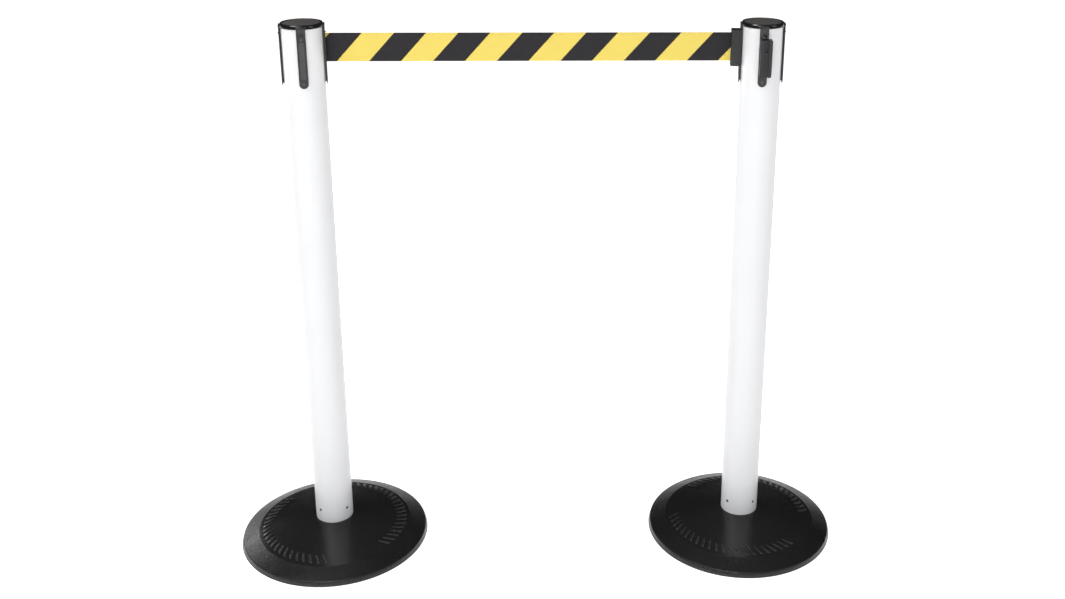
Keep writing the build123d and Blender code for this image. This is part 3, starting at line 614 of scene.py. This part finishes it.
def build_rails(name, post):
    made = []
    for rail_name, angle in RAIL_FACES[name].items():
        grooved = angle != post["exit_face"]
        part = joined(rail_part(grooved), nub_part())
        rail = mesh_object(f"{name}_{rail_name}_rail", *part, MATERIALS["rail_black"])
        if not grooved:
            cut(rail, box_part(TUBE_R - 2, RAIL_FACE + 3, *EXIT_T, *EXIT_Z))
        else:
            # The groove's faces take the lighter grey, a painted light.
            rail.data.materials.append(MATERIALS["rail_groove"])
            for face in rail.data.polygons:
                n, t = (face.center / MM).xy
                if RAIL_FACE - 2 * GROOVE_DEPTH < n < RAIL_FACE - 0.02 and abs(t) < GROOVE_HALF:
                    face.material_index = 1
        move_mesh(rail, on_face(post, angle))
        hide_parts(f"{name}_rail_{rail_name}")
        made.append(rail)
    return made, "rail_black"


def dome(radius, height, sink, dimple=0.0):
    """Low domed head about the upright axis, its skirt sunk below the face."""
    outline = [(0.0, -sink), (radius, -sink), (radius, 0.15)]
    steps = 7
    for step in range(steps + 1):
        share = step / steps
        reach = radius - 0.1 - share * (radius - 0.1 - dimple)
        outline.append((reach, 0.2 + (height - 0.2) * math.sin(share * math.pi / 2)))
    if dimple > 0:
        outline += [(dimple * 0.8, height - 0.35), (dimple * 0.3, height - 0.5), (0.0, height - 0.5)]
    else:
        outline[-1] = (0.0, height)
    return lathe(outline, 40)


SCREW_HEAD_R = 1.75


def build_screws(name, post):
    head = mesh_object("screw_pattern", *dome(SCREW_HEAD_R, 0.42, 1.0), MATERIALS["black_steel"])
    cut(head, box_part(-0.28, 0.28, -3.0, 3.0, -0.12, 2.0))
    verts = [tuple(v.co / MM) for v in head.data.vertices]
    faces = [list(p.vertices) for p in head.data.polygons]
    bpy.data.objects.remove(head)
    parts = []
    for side in range(4):
        for z in SCREW_ZS:
            place = on_face(post, 90.0 * side) @ radial(RAIL_FACE, z)
            parts.append(placed((verts, faces), place))
    screws = mesh_object(name + "_screw_heads", *joined(*parts), MATERIALS["black_steel"])
    return [screws], "black_steel"


RIVET_Z = 69.5
RIVET_HEAD_R = 2.8


def build_rivets(name, post):
    parts = []
    for turn in range(4):
        place = on_face(post, 45.0 + 90.0 * turn) @ radial(TUBE_R, RIVET_Z)
        parts.append(placed(dome(RIVET_HEAD_R, 1.0, 1.2, 0.9), place))
    rivets = mesh_object(name + "_rivet_heads", *joined(*parts), MATERIALS["rivet_steel"])
    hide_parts(name + "_base_rivets")
    return [rivets], "rivet_steel"


# ---- Belt end -------------------------------------------------------------------------------
END_TIP = 35.3
END_FLOOR = 38.9
END_DEPTH = 53.9
END_HALF = 10.0
HEAD_HALF = 8.05
THROAT_HALF = 4.3
LIP_TRIM = 6.0
PIN_N = 48.9
PIN_R = 1.25
PIN_ROOM_R = 2.05
SLOT_HALF = 0.55
# The detent clip's pocket: depth, half width, height.
CLIP_POCKET = (2.85, 2.45, 21.05)
BELT_WIDTH = 50.0
BELT_THICKNESS = 0.5
BELT_OFFSET = 3.3
PARK_GAP = 0.3
# Where each belt end's own frame lies: the left belt's end is hooked on the right post's inner
# rail, and the right belt's end is parked against its own post, facing out.
HOOKED = on_face(POSTS["right"], 180.0)
PARKED = on_face(POSTS["right"], POSTS["right"]["exit_face"])
PARKED = PARKED @ Matrix.Translation((RAIL_FACE + PARK_GAP + END_DEPTH, BELT_OFFSET, 0))
PARKED = PARKED @ Matrix.Rotation(math.pi, 4, "Z")


def belt_end_mesh(name, z0, z1, belt_z):
    """The hook channel on a face at angle 0, its belt leaving along +n."""
    loops = []
    for inset, z in ((1.0, z0), (0.5, z0 + 0.13), (0.13, z0 + 0.5), (0.0, z0 + 1.0),
                     (0.0, z1 - 1.0), (0.13, z1 - 0.5), (0.5, z1 - 0.13), (1.0, z1)):
        corners = [
            (END_TIP, -END_HALF + inset, 0.6), (END_DEPTH - inset, -END_HALF + inset, 2.0),
            (END_DEPTH - inset, END_HALF - inset, 2.0), (END_TIP, END_HALF - inset, 0.6),
        ]
        loops.append([(n, t, z) for n, t in rounded(corners, 5)])
    body = mesh_object(name, *loft(loops), MATERIALS["end_black"])
    cut(body, box_part(RAIL_BACK - 0.3, END_FLOOR, -HEAD_HALF, HEAD_HALF, z0 - 1, z1 + 1))
    cut(body, box_part(END_TIP - 3, RAIL_BACK, -THROAT_HALF, THROAT_HALF, z0 - 1, z1 + 1))
    cut(body, lathe([(0, z0 - 1), (TUBE_R + 0.3, z0 - 1), (TUBE_R + 0.3, z1 + 1), (0, z1 + 1)], 160))
    for side in (-1, 1):
        low, high = sorted((side * (RAIL_HALF - 0.5), side * (END_HALF + 4)))
        cut(body, box_part(END_TIP - 1, END_FLOOR + 0.01 * side, low, high, z0 - 1, z0 + LIP_TRIM))
    deep, half, tall = CLIP_POCKET
    cut(body, box_part(END_FLOOR - 1, END_FLOOR + deep, -half, half, z1 - tall, z1 + 1))
    room = BELT_WIDTH / 2 + 0.8
    low, high = belt_z - room, belt_z + room
    hollow = [(0, low), (PIN_ROOM_R, low), (PIN_ROOM_R, high), (0, high)]
    cut(body, lathe(hollow, 32), Matrix.Translation((PIN_N, 0, 0)))
    cut(body, box_part(PIN_N, END_DEPTH + 1, -SLOT_HALF, SLOT_HALF, low, high))
    bore = [(0, belt_z - 30), (PIN_R, belt_z - 30), (PIN_R, z1 + 1), (0, z1 + 1)]
    cut(body, lathe(bore, 32), Matrix.Translation((PIN_N, 0, 0)))
    return body


def build_belt_end(name):
    low, high = cad(name + "_belt_end")
    belt_z = middle(name + "_belt_pin").z
    body = belt_end_mesh(name + "_hook_end", low.z, high.z, belt_z)
    move_mesh(body, HOOKED if name == "left" else PARKED)
    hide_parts(name + "_belt_end")
    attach(body, name + "_belt_end_body")


# ---- Belts ----------------------------------------------------------------------------------
LEAD_IN = 9.0
LOOP_START = 3.0
TAIL_MM = 150.0
GUIDE_PIN_R = 1.5
GUIDE_PIN_N = 27.4
BELT_GAP = 0.15
TURN_R = 1.75


def smooth_path(corners, step_mm, turn_r):
    """Plan points along the corners with each corner rounded, closely spaced."""
    path = [Vector(corners[0])]
    for before, here, after in zip(corners, corners[1:], corners[2:]):
        here = Vector(here)
        back = (Vector(before) - here).normalized()
        ahead = (Vector(after) - here).normalized()
        half = back.angle(ahead) / 2
        if half > math.radians(89.9):
            path.append(here)
            continue
        reach = turn_r / math.tan(half)
        first, last = here + back * reach, here + ahead * reach
        for step in range(9):
            share = step / 8
            path.append(first * (1 - share) ** 2 + here * (2 * share * (1 - share)) + last * share ** 2)
    path.append(Vector(corners[-1]))
    dense = [path[0]]
    for here in path[1:]:
        gap = here - dense[-1]
        count = max(1, round(gap.length / step_mm))
        start = dense[-1].copy()
        for step in range(1, count + 1):
            dense.append(start + gap * (step / count))
    return dense


def ribbon(name, path, z0, z1, material):
    """Flat strip with soft edges along a plan path. rest keeps each vertex's place at rest."""
    half = BELT_THICKNESS / 2
    section = []
    for z, end in ((z0, -1), (z1, 1)):
        for across, along in ((-1.0, 0.32), (-0.55, 0.08), (0.0, 0.0), (0.55, 0.08), (1.0, 0.32)):
            section.append((across * end * half * -1, z - end * along))
        if end == -1:
            section += [(half, z0 + (z1 - z0) * share / 8) for share in range(1, 8)]
        else:
            section += [(-half, z1 - (z1 - z0) * share / 8) for share in range(1, 8)]
    loops = []
    for index, here in enumerate(path):
        before = path[max(index - 1, 0)]
        after = path[min(index + 1, len(path) - 1)]
        way = (after - before).normalized()
        side = Vector((-way.y, way.x))
        loops.append([(*(here + side * across), z) for across, z in section])
    obj = mesh_object(name, *loft(loops), material)
    rest = obj.data.attributes.new("belt_rest", "FLOAT_VECTOR", "POINT")
    for index, vert in enumerate(obj.data.vertices):
        rest.data[index].vector = vert.co
    return obj


def pattern_empty(name, body):
    """Marks where a belt's pattern is fixed: it sits at the frame's origin and rides on a body."""
    empty = bpy.data.objects.new(name, None)
    bpy.context.scene.collection.objects.link(empty)
    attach(empty, body)
    return empty


def roll_exit(name):
    """Plan route from the roll round the guide pin to the slot, on a face at angle 0: (n, t)."""
    roll = cad(name + "_belt_roll")
    roll_line = (roll[1].x - roll[0].x) / 2 + BELT_THICKNESS / 2 + BELT_GAP
    pin_line = GUIDE_PIN_R + BELT_THICKNESS / 2 + BELT_GAP
    exit_t = (EXIT_T[0] + EXIT_T[1]) / 2
    pin_t = exit_t + pin_line
    turn = math.atan2(pin_t, GUIDE_PIN_N)
    turn += math.acos((roll_line + pin_line) / math.hypot(GUIDE_PIN_N, pin_t))
    corner = ((roll_line - exit_t * math.sin(turn)) / math.cos(turn), exit_t)
    return [(roll_line * math.cos(turn), roll_line * math.sin(turn)), corner, (RAIL_FACE + 1, exit_t)]


def pin_loop(centre, way):
    """Plan points once round the belt pin, arriving along way."""
    side = Vector((-way.y, way.x))
    radius = PIN_R + BELT_THICKNESS / 2
    points = []
    for step in range(22):
        angle = math.radians(60 - step * 13)
        points.append(centre - way * (radius * math.cos(angle)) + side * (radius * math.sin(angle)))
    return points


def build_left_belt():
    low, high = cad("left_belt")
    pin = (HOOKED @ Vector((PIN_N, 0, 0))).xy
    post_x = POSTS["left"]["x"]
    face = on_face(POSTS["left"], POSTS["left"]["exit_face"])
    inside = [(face @ Vector((n, t, 0))).xy for n, t in roll_exit("left")]
    straight = (HOOKED @ Vector((PIN_N + LEAD_IN, 0, 0))).xy
    split_x = pin.x - TAIL_MM
    exit_at = inside[-1]
    split = exit_at.lerp(straight, (split_x - exit_at.x) / (straight.x - exit_at.x))
    path = smooth_path(inside + [split], 6.0, TURN_R)
    moving = pattern_empty("belt_pattern_place", "right_post")
    long_part = ribbon(
        "left_belt_run", path, low.z, high.z,
        webbing("webbing_run", low.z, high.z - low.z, moving, post_x),
    )
    way = (pin - straight).normalized()
    tail = smooth_path([split, straight, pin - way * LOOP_START], 3.0, 30.0)
    tail += pin_loop(pin, way)
    short_part = ribbon(
        "left_belt_tail", tail, low.z, high.z,
        webbing("webbing_tail", low.z, high.z - low.z, "belt_rest", post_x),
    )
    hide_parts("left_belt")
    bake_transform(long_part)
    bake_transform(short_part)


def build_right_belt():
    low, high = cad("right_belt")
    pin = (PARKED @ Vector((PIN_N, 0, 0))).xy
    post = POSTS["right"]
    face = on_face(post, post["exit_face"])
    inside = [(face @ Vector((n, t, 0))).xy for n, t in roll_exit("right")]
    way = face.to_3x3().col[0].xy
    path = smooth_path(inside[:2] + [pin - way * LOOP_START], 2.0, TURN_R)
    path += pin_loop(pin, way)
    moving = pattern_empty("parked_pattern_place", "right_belt_end_body")
    belt = ribbon(
        "right_belt_stub", path, low.z, high.z,
        webbing("webbing_parked", low.z, high.z - low.z, moving, 0.0, "Y"),
    )
    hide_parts("right_belt")
    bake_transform(belt)


# ---- Everything together --------------------------------------------------------------------
for post_name, post in POSTS.items():
    for build in (build_base, build_ring, build_cap, build_rails, build_screws, build_rivets):
        pieces, slot_name = build(post_name, post)
        for piece in pieces:
            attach(piece, post["body"])
    build_belt_end(post_name)
build_left_belt()
build_right_belt()

BELT_LOW_Z = 936.8
MATERIALS["belt_webbing"] = webbing("webbing_roll", BELT_LOW_Z, BELT_WIDTH)
for node_name, node in NODES.items():
    for index, old in enumerate(node.data.materials):
        node.data.materials[index] = MATERIALS[old.name.split(".")[0]]

# ---- Stage: floor, backdrop, lights, camera --------------------------------------------------


FLOOR_R = 40.0
DOME_R = 39.0
DOME_THICK = 0.5
DOME_STEPS = 12
SKIRT_DEPTH = 100.0


def stage_material(name, colour, glow):
    made = Nodes(
        name, Roughness=0.9, Specular_IOR_Level=0.1,
        Emission_Strength=glow, Emission_Color=(1, 1, 1, 1),
    )
    tint = made.blend(made.noise(3.0, 2.0), scaled(colour, 0.985), colour)
    made.to("Base Color", tint)
    return made.material


floor_rings = []
for radius in (0.0, 1.0, 4.0, 12.0, FLOOR_R):
    floor_rings.append((radius / MM, 0.0))
floor_rings += [(FLOOR_R / MM, -2 * SKIRT_DEPTH), (0.0, -2 * SKIRT_DEPTH)]
floor = mesh_object("floor", *lathe(floor_rings, 96), stage_material("floor_white", grey(0.93), 1.05))

dome_outline = [(DOME_R / MM, -SKIRT_DEPTH)]
for step in range(DOME_STEPS):
    angle = math.pi / 2 * step / DOME_STEPS
    dome_outline.append((DOME_R / MM * math.cos(angle), DOME_R / MM * math.sin(angle)))
dome_back = (DOME_R + DOME_THICK) / MM
dome_outline += [(0.0, DOME_R / MM), (0.0, dome_back), (dome_back, 0.0), (dome_back, -SKIRT_DEPTH)]
backdrop_paint = stage_material("backdrop_white", grey(0.9), 1.0)
backdrop = mesh_object("backdrop", *lathe(dome_outline, 96), backdrop_paint)
backdrop.visible_diffuse = False
backdrop.visible_glossy = False
backdrop.visible_transmission = False
backdrop.visible_shadow = False

world = bpy.data.worlds.new("studio")
bpy.context.scene.world = world
world.use_nodes = True
sky = world.node_tree
background = sky.nodes["Background"]
direction = sky.nodes.new("ShaderNodeTexCoord").outputs["Generated"]
height = sky.nodes.new("ShaderNodeSeparateXYZ")
sky.links.new(direction, height.inputs[0])
ramp = sky.nodes.new("ShaderNodeValToRGB")
# Brightness of the sky from the horizon (0) up to straight overhead (1).
SKY_STEPS = ((0.0, 0.03), (0.5, 0.08), (0.8, 0.2), (1.0, 0.3))
while len(ramp.color_ramp.elements) < len(SKY_STEPS):
    ramp.color_ramp.elements.new(1.0)
for element, (position, level) in zip(ramp.color_ramp.elements, SKY_STEPS):
    element.position = position
    element.color = (level, level, level * 1.02, 1)
sky.links.new(height.outputs["Z"], ramp.inputs[0])
sky.links.new(ramp.outputs[0], background.inputs["Color"])
background.inputs["Strength"].default_value = 1.0


def softbox(name, place, aim, size, watts, tint=(1, 1, 1)):
    light = bpy.data.lights.new(name, "AREA")
    light.shape = "RECTANGLE"
    light.size, light.size_y = size
    light.energy = watts
    light.color = tint
    holder = bpy.data.objects.new(name, light)
    bpy.context.scene.collection.objects.link(holder)
    holder.location = place
    holder.visible_camera = False
    holder.rotation_mode = "QUATERNION"
    holder.rotation_quaternion = (Vector(aim) - Vector(place)).to_track_quat("-Z", "Y")


softbox("key_light", (-0.7, -3.1, 2.5), (-0.1, 0.0, 0.5), (1.5, 1.5), 37.0)
softbox("front_light", (0.7, -2.8, 1.9), (-0.2, 0.0, 0.5), (1.0, 1.0), 9.0)
softbox("fill_light", (3.0, -1.8, 2.2), (0.1, 0.0, 0.5), (1.3, 1.3), 8.0, (0.98, 0.98, 1.0))
softbox("top_light", (-1.5, -1.1, 3.0), (-0.2, 0.0, 0.3), (1.2, 1.2), 26.0)
softbox("left_panel", (-1.363, 0.861, 0.558), (-0.56, 0.0, 0.0), (0.41, 0.35), 3.1)

# Camera: place, aim, roll and lens.
CAMERA_PLACE = (0.00719, -2.0984, 1.4006)
CAMERA_YAW = 0.0443
CAMERA_PITCH = 0.3240
CAMERA_ROLL = 0.0064
SENSOR_MM = 36.0
IMAGE_WIDTH, IMAGE_HEIGHT = 1065.0, 599.0
FOCAL_WIDTHS = 1234.2 / IMAGE_WIDTH
SHIFT = (-0.0552, -0.0993)
look = Vector((
    math.sin(CAMERA_YAW) * math.cos(CAMERA_PITCH),
    math.cos(CAMERA_YAW) * math.cos(CAMERA_PITCH),
    -math.sin(CAMERA_PITCH),
))
level = Vector((math.cos(CAMERA_YAW), -math.sin(CAMERA_YAW), 0.0))
upward = level.cross(look)
right = level * math.cos(CAMERA_ROLL) + upward * math.sin(CAMERA_ROLL)
up = upward * math.cos(CAMERA_ROLL) - level * math.sin(CAMERA_ROLL)
lens = bpy.data.cameras.new("camera")
lens.sensor_width = SENSOR_MM
lens.lens = FOCAL_WIDTHS * SENSOR_MM
lens.shift_x, lens.shift_y = SHIFT
camera = bpy.data.objects.new("camera", lens)
bpy.context.scene.collection.objects.link(camera)
axes = Matrix((right, up, -look)).transposed().to_4x4()
camera.matrix_world = Matrix.Translation(CAMERA_PLACE) @ axes
bpy.context.scene.camera = camera
bpy.context.scene.view_settings.view_transform = "Standard"
